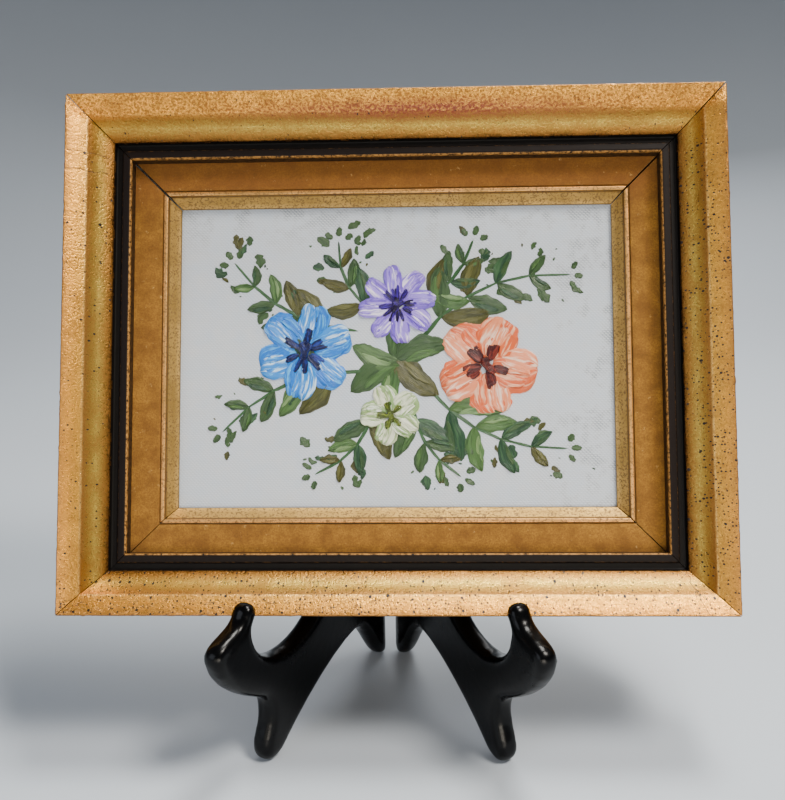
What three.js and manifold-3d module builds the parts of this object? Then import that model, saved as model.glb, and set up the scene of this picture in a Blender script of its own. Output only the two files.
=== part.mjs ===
// A small framed oil painting leaning on a folding plastic display easel.
// Millimetres, +Z up, the picture faces -Y and +X is to the viewer's right.
import * as THREE from 'three';
import { mergeVertices } from 'three/addons/utils/BufferGeometryUtils.js';
import Module from 'manifold-3d';

const wasm = await Module();
wasm.setup();

// Fit between neighbouring pieces
const GAP = 0.3;

// Canvas board
const BOARD = { width: 177.8, height: 127, thickness: 2.2 };

// Liner: a wooden moulding with a velvet flat and a gilt lip that laps over the board
const LINER = {
  boardCover: 5.3, // how far the lip laps over the board on every side
  lipWidth: 5.6, // from the velvet to the sight edge
  beadWidth: 1.9, // the rounded bead on the lip's outer side
  velvetWidth: 10.6, // velvet that shows between the rail and the lip
  tuck: 4.9, // velvet and liner hidden under the rail's lip
  sightDrop: 26.7, // every drop is measured back from the frame's front edge
  beadFootDrop: 22.7,
  beadTopDrop: 21.4,
  velvetOuterDrop: 20.3,
  velvetInnerDrop: 21.7,
  velvetThickness: 0.9,
  lipEdge: 1.2, // thickness of the lip at the sight edge
  backRoom: 2.1, // the liner stands this far behind the board's back
};

// Rail: gilt outer and inner bands, a black channel and a worn step beside the velvet
const RAIL = {
  depth: 35.5,
  backBevel: 0.8,
  wall: 0.3, // slope of the black channel's and step's sides
  faceWidth: 20.3,
  edgeRound: 1.1,
  ridgeInset: 6.8,
  ridgeDrop: 4.8,
  bandCrown: 0.25, // how far the outer band bulges
  goldInset: 14.2,
  goldDrop: 13.3,
  bandSag: 0.35, // how far the inner band is hollowed
  channelDrop: 15.6,
  stepInset: 17.1,
  stepDrop: 14.5,
  stepRise: 0.4,
  lipOverlap: 5.3, // how far the rail laps over the liner
};

// Open mitres, measured across the joint, at each corner of the frame
const RAIL_MITRES = { topLeft: 0.3, topRight: 0.45, bottomRight: 0.3, bottomLeft: 0.3 };
const LINER_MITRES = { topLeft: 0.8, topRight: 0.6, bottomRight: 0.4, bottomLeft: 0.3 };

// How the frame stands
const LEAN = THREE.MathUtils.degToRad(20);
const SIDE_SHIFT = 4.5; // the frame sits this far to the right of the easel's middle

// Easel: two mirrored plates that spread from a hinge behind the picture
const EASEL = {
  plate: 8.5,
  edgeRadius: 2.5,
  topRadius: 5, // rounding of the plates' upper corners
  spread: THREE.MathUtils.degToRad(27.7), // each plate from the middle plane
  spineGap: 1.9,
  top: 128,
  heelHeight: 48.5, // where the frame's back lower edge sits, above the floor
  heelReach: 49.2, // the same place, out from the spine along the plate
};

// Outline of a plate: the hook in front of the frame, the seat, the leg and the arch behind it.
// Heights are from the floor, and each reach is from the hook's inner side.
// The curl is how far the hook's tip leans in for each millimetre that it stands over the frame's edge,
// and the throat is where its inner side turns, as a share of the way from the seat up to the tip.
const HOOK = { height: 67.6, tipRadius: 3.6, curl: 0.343, throat: 0.735, belly: 1.2, bulge: 20.9, bulgeHeight: 54 };
const SEAT = { height: 39.8, rear: 6.2, rearDrop: 4.8, front: 20 };
const LEG = { toe: 1.4, footLength: 9.5, ankle: 5.7, ankleHeight: 21, crotch: 3.2, crotchHeight: 27.6 };
const ARCH = { height: 23.4, peak: 25, heelLength: 4.5 };

// Clip hinge on the spine: round knuckles, a pin moulded on the left plate and a clip on the right one
const HINGE = { knuckle: 4.2, pin: 1.7, stations: [44, 100], length: 22, clip: 9, mouth: 2.6, web: 4, sides: 20 };

// Knife-laid paint, in the board's own frame from the middle of the picture
const PAINT = { foot: 0.5, blossomRise: 1.3, leafRise: 0.8, stemRise: 0.45, dabRise: 0.6 };

// Sprays of leaves: stem from and to, how far it bows, how many leaf pairs, first and last leaf length
const SPRAYS = [
  { from: [-12, -6], to: [-66, -28], bow: -7, pairs: 4, leaves: [19, 9] },
  { from: [8, 4], to: [66, 31], bow: 9, pairs: 4, leaves: [19, 9] },
  { from: [-16, 10], to: [-62, 36], bow: 6, pairs: 4, leaves: [17, 8] },
  { from: [12, -12], to: [64, -36], bow: -7, pairs: 4, leaves: [19, 9] },
  { from: [-6, 16], to: [-22, 44], bow: 5, pairs: 3, leaves: [14, 8] },
  { from: [8, 20], to: [30, 44], bow: -4, pairs: 3, leaves: [14, 8] },
  { from: [-8, -18], to: [-30, -45], bow: 5, pairs: 3, leaves: [15, 8] },
  { from: [6, -18], to: [24, -46], bow: -4, pairs: 3, leaves: [15, 8] },
];
// Open blossoms: middle, petals, reach of a petal and its width
const BLOSSOMS = [
  { at: [-35, 2], petals: 6, reach: 19, width: 12.5, turn: 0.3 },
  { at: [35, -4], petals: 5, reach: 19.5, width: 16, turn: 1.1 },
  { at: [1, 20], petals: 8, reach: 15.5, width: 8, turn: 0.1 },
  { at: [-2, -23], petals: 5, reach: 12, width: 9, turn: 0.6 },
];
// Broad leaves between the blossoms, round the middle of the picture
const COLLAR = { at: [0, -2], count: 6, out: 9, length: 20, turn: 0.45 };
// Shares of a leaf's or petal's own length, and of a stem
const LEAF = { slim: 0.42, spread: 0.75, firstAt: 0.2, out: 0.55 };
const PETAL = { out: 0.56, length: 0.86, heart: 0.42, lowRise: 0.8 };
const STEM = { width: 1.5, overlap: 1.4 };
const BERRIES = { count: 3, size: 2.6, stretch: 1.4, fan: 5, spread: 0.9 };

// Where the board lies: its face and the liner's back, behind the frame's front edge
const BOARD_FACE_DROP = LINER.sightDrop + LINER.lipEdge + GAP;
const LINER_BACK_DROP = BOARD_FACE_DROP + BOARD.thickness + LINER.backRoom;

const SIGHT = {
  width: BOARD.width - 2 * LINER.boardCover,
  height: BOARD.height - 2 * LINER.boardCover,
};
const MOULDING_WIDTH = RAIL.faceWidth + LINER.velvetWidth + LINER.lipWidth;
const FRAME = { width: SIGHT.width + 2 * MOULDING_WIDTH, height: SIGHT.height + 2 * MOULDING_WIDTH };

// Finishes
const finish = (color, roughness, metalness = 0) => new THREE.MeshStandardMaterial({ color, roughness, metalness });
const GILT = finish(0xb98a2e, 0.38, 0.85);
const LINER_GILT = finish(0xae8a45, 0.45, 0.7);
const VELVET = finish(0x9a6414, 1);
const CANVAS = finish(0xc3c8ce, 0.8);
const BLACK_PLASTIC = finish(0x0d0d0f, 0.22);

// Turns a closed geometry into a solid that can be joined and cut
function toSolid(geometry) {
  const bare = geometry.clone();
  bare.deleteAttribute('normal');
  bare.deleteAttribute('uv');
  const merged = mergeVertices(bare, 1e-4);
  return new wasm.Manifold(new wasm.Mesh({
    numProp: 3,
    vertProperties: new Float32Array(merged.attributes.position.array),
    triVerts: new Uint32Array(merged.index.array),
  }));
}

// Turns a solid back into a geometry
function toGeometry(solid) {
  const mesh = solid.getMesh();
  const geometry = new THREE.BufferGeometry();
  geometry.setAttribute('position', new THREE.BufferAttribute(mesh.vertProperties, 3));
  geometry.setIndex(new THREE.BufferAttribute(mesh.triVerts, 1));
  geometry.computeVertexNormals();
  return geometry;
}

const joined = (geometries) => geometries.map(toSolid).reduce((all, next) => all.add(next));

function namedMesh(name, geometry, material) {
  const mesh = new THREE.Mesh(geometry, material);
  mesh.name = name;
  return mesh;
}

// Section of the rail: x is the inset from its outer side, y the height over the frame's front edge
function railSection() {
  const { depth, faceWidth, edgeRound, ridgeInset, ridgeDrop, goldInset, goldDrop } = RAIL;
  const { bandCrown, bandSag, channelDrop, stepInset, stepDrop, stepRise, lipOverlap, wall, backBevel } = RAIL;
  const lipUnder = LINER.velvetOuterDrop - GAP;
  const shape = new THREE.Shape();
  shape.moveTo(backBevel, -depth);
  shape.lineTo(0, -depth + backBevel);
  shape.lineTo(0, -edgeRound);
  shape.quadraticCurveTo(0, 0, edgeRound, 0);
  shape.quadraticCurveTo(
    (edgeRound + ridgeInset) / 2 + bandCrown, -ridgeDrop / 2 + 2 * bandCrown + edgeRound / 2,
    ridgeInset, -ridgeDrop);
  shape.quadraticCurveTo(
    (ridgeInset + goldInset) / 2 - bandSag, -(ridgeDrop + goldDrop) / 2 - 2 * bandSag,
    goldInset, -goldDrop);
  shape.lineTo(goldInset + wall, -channelDrop);
  shape.lineTo(stepInset - wall, -channelDrop);
  shape.lineTo(stepInset, -stepDrop);
  shape.lineTo(faceWidth - 2 * wall, -stepDrop + stepRise);
  shape.lineTo(faceWidth, -stepDrop);
  shape.lineTo(faceWidth, -lipUnder);
  shape.lineTo(faceWidth - lipOverlap, -lipUnder);
  shape.lineTo(faceWidth - lipOverlap, -depth);
  return shape;
}

// Section of the velvet strip, from under the rail to the liner's bead
function velvetSection() {
  const { tuck, velvetWidth, velvetOuterDrop, velvetInnerDrop, velvetThickness } = LINER;
  const outer = RAIL.faceWidth - tuck;
  const inner = RAIL.faceWidth + velvetWidth - GAP;
  const shape = new THREE.Shape();
  shape.moveTo(outer, -velvetOuterDrop - velvetThickness);
  shape.lineTo(outer, -velvetOuterDrop);
  shape.lineTo(RAIL.faceWidth, -velvetOuterDrop);
  shape.lineTo(inner, -velvetInnerDrop);
  shape.lineTo(inner, -velvetInnerDrop - velvetThickness);
  shape.lineTo(RAIL.faceWidth, -velvetOuterDrop - velvetThickness);
  return shape;
}

// Section of the liner: velvet bed, bead, slope to the sight edge, and the rabbet for the board
function linerSection() {
  const { tuck, lipWidth, beadWidth, velvetThickness } = LINER;
  const outer = RAIL.faceWidth - tuck;
  const beadOuter = RAIL.faceWidth + LINER.velvetWidth;
  const sight = beadOuter + lipWidth;
  const bed = velvetThickness + GAP;
  const lipUnder = LINER.sightDrop + LINER.lipEdge;
  const rabbet = sight - LINER.boardCover - GAP;
  const shape = new THREE.Shape();
  shape.moveTo(outer, -LINER_BACK_DROP);
  shape.lineTo(outer, -LINER.velvetOuterDrop - bed);
  shape.lineTo(RAIL.faceWidth, -LINER.velvetOuterDrop - bed);
  shape.lineTo(beadOuter, -LINER.velvetInnerDrop - bed);
  shape.lineTo(beadOuter, -LINER.beadTopDrop - beadWidth / 4);
  shape.quadraticCurveTo(beadOuter, -LINER.beadTopDrop, beadOuter + beadWidth / 2, -LINER.beadTopDrop);
  shape.quadraticCurveTo(beadOuter + beadWidth, -LINER.beadTopDrop, beadOuter + beadWidth, -LINER.beadFootDrop);
  shape.lineTo(sight, -LINER.sightDrop);
  shape.lineTo(sight, -lipUnder);
  shape.lineTo(rabbet, -lipUnder);
  shape.lineTo(rabbet, -LINER_BACK_DROP);
  return shape;
}

// The four sides of a frame, in turn round it, and the corner that each one starts at
const SIDES = [
  { name: 'bottom', start: 'bottomLeft', end: 'bottomRight' },
  { name: 'right', start: 'bottomRight', end: 'topRight' },
  { name: 'top', start: 'topRight', end: 'topLeft' },
  { name: 'left', start: 'topLeft', end: 'bottomLeft' },
];

// One mitred length of a section on side number turn of the frame
function mitredLength(section, turn, mitres) {
  const upright = turn % 2 === 1;
  const length = upright ? FRAME.height : FRAME.width;
  const across = upright ? FRAME.width : FRAME.height;
  const side = SIDES[turn];
  const geometry = new THREE.ExtrudeGeometry(section, { depth: length, bevelEnabled: false, curveSegments: 4 });
  const at = geometry.attributes.position;
  for (let i = 0; i < at.count; i += 1) {
    const inset = at.getX(i);
    const height = at.getY(i);
    const atStart = at.getZ(i) < length / 2;
    const cut = inset + mitres[atStart ? side.start : side.end] / Math.SQRT2;
    const along = (atStart ? cut : length - cut) - length / 2;
    at.setXYZ(i, along, inset - across / 2, height);
  }
  geometry.rotateZ(turn * Math.PI / 2);
  return geometry;
}

function mitredFrame(prefix, section, mitres, material) {
  return SIDES.map((side, turn) => (
    namedMesh(`${prefix}_${side.name}`, mitredLength(section, turn, mitres), material)));
}

// A knife stroke: an almond-shaped mound of paint, sunk a little into the ground
const ALMOND = { sides: 6, rings: 4, taper: 0.25 };
function stroke(x, y, length, width, rise, angle) {
  const mound = new THREE.SphereGeometry(1, ALMOND.sides, ALMOND.rings).rotateZ(Math.PI / 2);
  const at = mound.attributes.position;
  for (let i = 0; i < at.count; i += 1) {
    const along = at.getX(i);
    const height = Math.max(at.getZ(i) * rise, -PAINT.foot);
    at.setXYZ(i, along * length / 2, at.getY(i) * width / 2 * (1 - ALMOND.taper * Math.abs(along)), height);
  }
  return mound.rotateZ(angle).translate(x, y, 0);
}

// A blossom is a ring of strokes round a small raised heart
function blossom({ at, petals, reach, width, turn }) {
  const heart = reach * PETAL.heart;
  const parts = [stroke(at[0], at[1], heart, heart, PAINT.blossomRise, turn)];
  for (let i = 0; i < petals; i += 1) {
    const angle = turn + i * 2 * Math.PI / petals;
    const out = reach * PETAL.out;
    parts.push(stroke(
      at[0] + out * Math.cos(angle), at[1] + out * Math.sin(angle),
      reach * PETAL.length, width, PAINT.blossomRise * (i % 2 ? PETAL.lowRise : 1), angle));
  }
  return parts;
}

// The collar is a ring of broad leaves that point outwards
function collar({ at, count, out, length, turn }) {
  return Array.from({ length: count }, (_, i) => {
    const angle = turn + i * 2 * Math.PI / count;
    return stroke(
      at[0] + out * Math.cos(angle), at[1] + out * Math.sin(angle),
      length, length * LEAF.slim, PAINT.leafRise, angle);
  });
}

// A spray is a bowed stem with pairs of leaves that shorten towards a fan of berries at its tip
function spray({ from, to, bow, pairs, leaves }) {
  const start = new THREE.Vector2(...from);
  const end = new THREE.Vector2(...to);
  const side = end.clone().sub(start).normalize();
  const middle = start.clone().lerp(end, 0.5).add(new THREE.Vector2(-side.y, side.x).multiplyScalar(2 * bow));
  const stem = new THREE.QuadraticBezierCurve(start, middle, end);
  const parts = [];
  const steps = pairs + 1;
  for (let i = 0; i < steps; i += 1) {
    const a = stem.getPoint(i / steps);
    const b = stem.getPoint((i + 1) / steps);
    const run = b.clone().sub(a);
    const mid = a.clone().add(b).multiplyScalar(0.5);
    parts.push(stroke(mid.x, mid.y, run.length() * STEM.overlap, STEM.width, PAINT.stemRise, run.angle()));
  }
  for (let i = 0; i < pairs; i += 1) {
    const share = LEAF.firstAt + (1 - LEAF.firstAt) * i / pairs;
    const point = stem.getPoint(share);
    const heading = stem.getTangent(share).angle();
    const length = THREE.MathUtils.lerp(leaves[0], leaves[1], i / (pairs - 1));
    for (const hand of [-1, 1]) {
      const angle = heading + hand * LEAF.spread;
      const out = length * LEAF.out;
      parts.push(stroke(
        point.x + out * Math.cos(angle), point.y + out * Math.sin(angle),
        length, length * LEAF.slim, PAINT.leafRise, angle));
    }
  }
  for (let i = 0; i < BERRIES.count; i += 1) {
    const angle = side.angle() + (i - (BERRIES.count - 1) / 2) * BERRIES.spread;
    const out = BERRIES.fan;
    parts.push(stroke(
      end.x + out * Math.cos(angle), end.y + out * Math.sin(angle),
      BERRIES.size * BERRIES.stretch, BERRIES.size, PAINT.dabRise, angle));
  }
  return parts;
}

// The canvas board with its paint raised on the face, all one body
function paintedBoard() {
  const board = new THREE.BoxGeometry(BOARD.width, BOARD.height, BOARD.thickness)
    .translate(0, 0, -BOARD.thickness / 2);
  const strokes = [...SPRAYS.flatMap(spray), ...collar(COLLAR), ...BLOSSOMS.flatMap(blossom)];
  const geometry = toGeometry(joined([board, ...strokes]));
  return geometry.translate(0, 0, -BOARD_FACE_DROP);
}

// How far the rounded edge of a spread plate stands back from its sharp corner, front to back
const EDGE_SETBACK = EASEL.edgeRadius * (Math.cos(EASEL.spread) + Math.sin(EASEL.spread) - 1);

// Where the frame's front lower edge meets the hooks, seen along a plate
const HOOK_REACH = EASEL.heelReach + (RAIL.depth * Math.cos(LEAN) + EASEL.plate * Math.sin(EASEL.spread)
  - 2 * EDGE_SETBACK + 3 * GAP) / Math.cos(EASEL.spread);
const HOOK_HEIGHT = EASEL.heelHeight + RAIL.depth * Math.sin(LEAN);

// Side outline of a plate: x runs out from the spine along the plate, y up from the floor
function plateOutline() {
  const backSlope = Math.tan(LEAN) / Math.cos(EASEL.spread);
  const topFront = EASEL.heelReach - (EASEL.top - EASEL.heelHeight) * backSlope;
  const hook = HOOK_REACH;
  const inner = hook - HOOK.curl * (HOOK.height - HOOK_HEIGHT);
  const tip = inner + HOOK.tipRadius;
  const tipY = HOOK.height - HOOK.tipRadius;
  const throatY = THREE.MathUtils.lerp(SEAT.height, tipY, HOOK.throat);
  const bulge = hook + HOOK.bulge;
  const toe = hook - LEG.toe;
  const footBack = toe - LEG.footLength;
  const ankle = hook - LEG.ankle;
  const crotch = hook - LEG.crotch;
  const heel = ARCH.heelLength;
  const seatRear = EASEL.heelReach + SEAT.rear;
  const seatRearY = EASEL.heelHeight - SEAT.rearDrop;
  const shape = new THREE.Shape();
  shape.moveTo(0, 0);
  shape.lineTo(heel, 0);
  shape.bezierCurveTo(heel + 7, 5, ARCH.peak - 8, ARCH.height, ARCH.peak, ARCH.height);
  shape.bezierCurveTo(
    ARCH.peak + 15, ARCH.height - 0.5, footBack - 16, ARCH.height * 0.5, footBack - 3, 2.2);
  shape.quadraticCurveTo(footBack - 0.5, 0, footBack + 3, 0);
  shape.lineTo(toe - 4.4, 0);
  shape.quadraticCurveTo(toe - 0.6, 0, toe, 5);
  shape.bezierCurveTo(toe + 0.3, 11, ankle - 0.6, 14, ankle, LEG.ankleHeight);
  shape.bezierCurveTo(ankle + 0.2, LEG.ankleHeight + 3, crotch - 1.2, LEG.crotchHeight - 1.2, crotch, LEG.crotchHeight);
  shape.bezierCurveTo(
    hook + 3, LEG.crotchHeight + 4, bulge - 1.5, HOOK.bulgeHeight - 13, bulge, HOOK.bulgeHeight);
  shape.bezierCurveTo(
    bulge + 0.8, HOOK.bulgeHeight + 8, tip + HOOK.tipRadius + 2.5, tipY - 5, tip + HOOK.tipRadius, tipY);
  shape.absarc(tip, tipY, HOOK.tipRadius, 0, Math.PI, false);
  shape.bezierCurveTo(
    inner + 0.3, (tipY + throatY) / 2, hook + HOOK.belly, (tipY + throatY) / 2,
    hook + HOOK.belly, throatY);
  shape.bezierCurveTo(
    hook + HOOK.belly, SEAT.height + 8, hook - 6, SEAT.height, hook - SEAT.front, SEAT.height);
  shape.bezierCurveTo(
    hook - SEAT.front - 6, SEAT.height, seatRear + 3, seatRearY - 2, seatRear, seatRearY);
  shape.quadraticCurveTo(EASEL.heelReach + 1.5, EASEL.heelHeight - 2, EASEL.heelReach, EASEL.heelHeight);
  const shoulder = EASEL.top - EASEL.topRadius;
  shape.lineTo(topFront + 1, shoulder);
  shape.quadraticCurveTo(topFront - 1, EASEL.top, topFront - EASEL.topRadius, EASEL.top);
  shape.quadraticCurveTo(0, EASEL.top, 0, shoulder);
  return shape;
}

// The hinge's axis stands behind the plates, clear of their back edges
const HINGE_BACK = (HINGE.knuckle + 2 * GAP - EASEL.spineGap / 2 * Math.sin(EASEL.spread)) / Math.cos(EASEL.spread);

function uprightCylinder(radius, length, height) {
  return new THREE.CylinderGeometry(radius, radius, length, HINGE.sides)
    .rotateX(Math.PI / 2)
    .translate(0, HINGE_BACK, height);
}

// A web from the hinge's axis into the plate on one side (-1 left, 1 right)
function hingeWeb(hand, length, height) {
  const plateX = hand * (EASEL.spineGap / 2 + EASEL.plate / 2 * Math.cos(EASEL.spread));
  const plateY = EASEL.plate / 2 * Math.sin(EASEL.spread);
  const run = new THREE.Vector2(plateX, plateY - HINGE_BACK);
  const reach = run.length() + HINGE.web;
  return new THREE.BoxGeometry(reach, HINGE.web, length)
    .translate(reach / 2, 0, 0)
    .rotateZ(run.angle())
    .translate(0, HINGE_BACK, height);
}

// One plate stood up at its spread angle, on one side of the easel's middle
function standingPlate(hand) {
  const { plate, edgeRadius, spread, spineGap } = EASEL;
  const geometry = new THREE.ExtrudeGeometry(plateOutline(), {
    depth: plate - 2 * edgeRadius,
    bevelThickness: edgeRadius,
    bevelSize: edgeRadius,
    bevelOffset: -edgeRadius,
    bevelSegments: 2,
    curveSegments: 6,
  });
  geometry.translate(0, 0, hand < 0 ? edgeRadius : edgeRadius - plate);
  const out = new THREE.Vector3(hand * Math.sin(spread), -Math.cos(spread), 0);
  const up = new THREE.Vector3(0, 0, 1);
  geometry.applyMatrix4(new THREE.Matrix4().makeBasis(out, up, out.clone().cross(up)));
  return geometry.translate(hand * spineGap / 2, 0, 0);
}

// The left half carries the outer knuckles and the pin of each hinge station
function easelHalfLeft() {
  let half = toSolid(standingPlate(-1));
  const knuckleLength = (HINGE.length - HINGE.clip) / 2 - GAP;
  for (const station of HINGE.stations) {
    for (const end of [-1, 1]) {
      const height = station + end * (HINGE.length - knuckleLength) / 2;
      half = half.add(toSolid(uprightCylinder(HINGE.knuckle, knuckleLength, height)));
      half = half.add(toSolid(hingeWeb(-1, knuckleLength, height)));
    }
    half = half.add(toSolid(uprightCylinder(HINGE.pin, HINGE.length - knuckleLength, station)));
  }
  return toGeometry(half);
}

// The right half carries a clip at each station that snaps round the pin from behind
function easelHalfRight() {
  let half = toSolid(standingPlate(1));
  for (const station of HINGE.stations) {
    half = half.add(toSolid(uprightCylinder(HINGE.knuckle, HINGE.clip, station)));
    half = half.add(toSolid(hingeWeb(1, HINGE.clip, station)));
    const bore = uprightCylinder(HINGE.pin + GAP, HINGE.clip + 1, station);
    const mouth = new THREE.BoxGeometry(HINGE.mouth, 2 * HINGE.knuckle, HINGE.clip + 1)
      .translate(0, HINGE_BACK + HINGE.knuckle, station);
    half = half.subtract(toSolid(bore)).subtract(toSolid(mouth));
  }
  return toGeometry(half);
}

// The frame, built flat on its own front plane and then leant back against the plates
const picture = new THREE.Group();
picture.add(...mitredFrame('rail', railSection(), RAIL_MITRES, GILT));
picture.add(...mitredFrame('liner', linerSection(), LINER_MITRES, LINER_GILT));
picture.add(...mitredFrame('velvet', velvetSection(), LINER_MITRES, VELVET));
picture.add(namedMesh('painted_canvas_board', paintedBoard(), CANVAS));
picture.rotation.x = Math.PI / 2 - LEAN;
const backEdgeY = -EASEL.heelReach * Math.cos(EASEL.spread) + EDGE_SETBACK - GAP;
picture.position.set(
  SIDE_SHIFT,
  backEdgeY + FRAME.height / 2 * Math.sin(LEAN) - RAIL.depth * Math.cos(LEAN),
  EASEL.heelHeight + FRAME.height / 2 * Math.cos(LEAN) + RAIL.depth * Math.sin(LEAN),
);

const easel = new THREE.Group();
easel.add(namedMesh('easel_half_left', easelHalfLeft(), BLACK_PLASTIC));
easel.add(namedMesh('easel_half_right', easelHalfRight(), BLACK_PLASTIC));

// The origin is the middle of the whole object's footprint, on the surface it stands on
const object = new THREE.Group();
object.add(picture, easel);
object.updateMatrixWorld(true);
const box = new THREE.Box3().setFromObject(object, true);
const middle = box.getCenter(new THREE.Vector3());
object.position.set(-middle.x, -middle.y, -box.min.z);

export default object;
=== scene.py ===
"""A small framed oil painting leaning on a folding plastic display easel.

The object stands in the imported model's frame: metres, +Z up, the picture facing -Y.
Sizes are millimetres on the picture's own axes, as on a framer's drawing: x to the right,
y up the picture and z out of its face, measured from the middle of the frame's front plane.
"""
from __future__ import annotations

import logging
import math
import random
from contextlib import contextmanager
from dataclasses import dataclass
from enum import Enum
from functools import cached_property
from typing import Callable, Iterator

import bpy
from mathutils import Euler, Matrix, Vector, noise


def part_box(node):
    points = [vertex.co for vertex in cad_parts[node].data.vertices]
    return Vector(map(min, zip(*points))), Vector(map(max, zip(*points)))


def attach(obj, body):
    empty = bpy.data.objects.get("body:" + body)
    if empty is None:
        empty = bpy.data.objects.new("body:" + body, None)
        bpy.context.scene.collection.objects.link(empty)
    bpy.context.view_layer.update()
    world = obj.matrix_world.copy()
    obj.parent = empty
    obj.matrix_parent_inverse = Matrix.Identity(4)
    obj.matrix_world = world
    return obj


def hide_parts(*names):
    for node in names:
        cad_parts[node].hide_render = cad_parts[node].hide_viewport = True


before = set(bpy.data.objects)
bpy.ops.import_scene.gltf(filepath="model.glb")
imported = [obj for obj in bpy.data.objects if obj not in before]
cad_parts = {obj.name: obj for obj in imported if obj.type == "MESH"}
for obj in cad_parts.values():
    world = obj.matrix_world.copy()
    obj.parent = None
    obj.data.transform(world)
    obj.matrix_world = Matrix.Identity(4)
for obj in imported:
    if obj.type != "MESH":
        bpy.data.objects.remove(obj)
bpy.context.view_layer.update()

log = logging.getLogger("framed_painting")

MM = 0.001
BODY = "root"
GAP = 0.3
HAIRLINE = 0.02
MOST_CORNERS = 8  # a face with more corners than this is a sawn mitre
Node = bpy.types.Node
Object = bpy.types.Object
Material = bpy.types.Material
Outline = list[tuple[float, float]]
Weigh = Callable[[Vector], float]


class Side(Enum):
    """The four sides of the frame, by how many quarter turns each is from the bottom one."""

    BOTTOM = 0
    RIGHT = 1
    TOP = 2
    LEFT = 3

    @property
    def upright(self) -> bool:
        """Whether the side runs up the picture."""
        return self.value % 2 == 1


class Corner(Enum):
    """The corner that each side starts at, in turn round the frame."""

    BOTTOM_LEFT = 0
    BOTTOM_RIGHT = 1
    TOP_RIGHT = 2
    TOP_LEFT = 3


# Modelling helpers


def take(obj: Object) -> None:
    """Selects one object alone and makes it active."""
    bpy.ops.object.select_all(action="DESELECT")
    obj.select_set(True)
    bpy.context.view_layer.objects.active = obj


@contextmanager
def editing(obj: Object) -> Iterator[None]:
    """Edits one object's whole mesh, and goes back to object mode."""
    take(obj)
    bpy.ops.object.mode_set(mode="EDIT")
    bpy.ops.mesh.select_all(action="SELECT")
    yield
    bpy.ops.object.mode_set(mode="OBJECT")


def apply_modifier(obj: Object, kind: str, **settings: object) -> None:
    """Adds a modifier and applies it.

    Args:
        obj: The object that it changes.
        kind: Blender's type of modifier.
        settings: The modifier's own settings.
    """
    take(obj)
    modifier = obj.modifiers.new(kind.lower(), kind)
    for name, value in settings.items():
        setattr(modifier, name, value)
    bpy.ops.object.modifier_apply(modifier=modifier.name)


def roughen(obj: Object, grain: float, height: float, group: str = "") -> None:
    """Moves a surface in and out along its normals by a cloudy pattern.

    Args:
        obj: The object, in millimetres.
        grain: The pattern's size.
        height: How far it moves in all.
        group: The vertex group that limits it.
    """
    clouds = bpy.data.textures.new(f"{obj.name}_clouds", "CLOUDS")
    clouds.noise_scale = grain
    clouds.noise_depth = 2
    apply_modifier(
        obj, "DISPLACE", texture=clouds, texture_coords="LOCAL", strength=height,
        mid_level=0.5, vertex_group=group,
    )


def set_group(obj: Object, name: str, weigh: Weigh) -> None:
    """Makes a vertex group with a weight worked out from each vertex's place."""
    group = obj.vertex_groups.new(name=name)
    for vertex in obj.data.vertices:
        group.add([vertex.index], float(weigh(vertex.co)), "REPLACE")


def finish_piece(
    obj: Object, name: str, nodes: list[str], smooth_angle: float = 40.0
) -> None:
    """Names and shades a piece, hangs it on the body that it rides on, and hides the solids that it stands for.

    Args:
        obj: The piece, with its place in its mesh.
        name: The piece's name.
        nodes: The solids that it stands for.
        smooth_angle: Edges sharper than this many degrees stay sharp.
    """
    obj.name = obj.data.name = name
    take(obj)
    bpy.ops.object.shade_smooth_by_angle(angle=math.radians(smooth_angle))
    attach(obj, BODY)
    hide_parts(*nodes)
    log.info("%s: %d faces", name, len(obj.data.polygons))


def smooth_step(value: float, low: float, high: float) -> float:
    """Runs smoothly from 0 at low to 1 at high."""
    share = min(max((value - low) / (high - low), 0.0), 1.0)
    return share * share * (3 - 2 * share)


# Material helpers


def linear(code: str) -> tuple[float, float, float, float]:
    """Turns an sRGB hex colour into a linear one."""
    channels = [int(code[i : i + 2], 16) / 255 for i in (1, 3, 5)]
    low = [c / 12.92 if c <= 0.04045 else ((c + 0.055) / 1.055) ** 2.4 for c in channels]
    return (*low, 1.0)


def feed(tree: bpy.types.NodeTree, node: Node, links: dict) -> None:
    """Sets or links a node's inputs.

    Args:
        tree: The material's node tree.
        node: The node.
        links: What goes into each input: a value, a node for its first output in use, or a node and
            an output's name.
    """
    for key, value in links.items():
        if isinstance(value, Node):
            tree.links.new(next(socket for socket in value.outputs if socket.enabled), node.inputs[key])
        elif isinstance(value, tuple) and isinstance(value[0], Node):
            tree.links.new(value[0].outputs[value[1]], node.inputs[key])
        else:
            node.inputs[key].default_value = value


def add_node(
    tree: bpy.types.NodeTree, kind: str, links: dict | None = None,
    stops: list[tuple[float, str]] | None = None, **settings: object,
) -> Node:
    """Adds a node with its settings and links.

    Args:
        tree: The material's node tree.
        kind: The node's type, without its ShaderNode prefix.
        links: What goes into its inputs.
        stops: A colour ramp's places and colours.
        settings: The node's own settings.

    Returns:
        The node.
    """
    made = tree.nodes.new("ShaderNode" + kind)
    for name, value in settings.items():
        setattr(made, name, value)
    feed(tree, made, links or {})
    if stops:
        ramp = made.color_ramp
        while len(ramp.elements) < len(stops):
            ramp.elements.new(1.0)
        for element, (place, code) in zip(ramp.elements, stops):
            element.position, element.color = place, linear(code)
    return made


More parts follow.
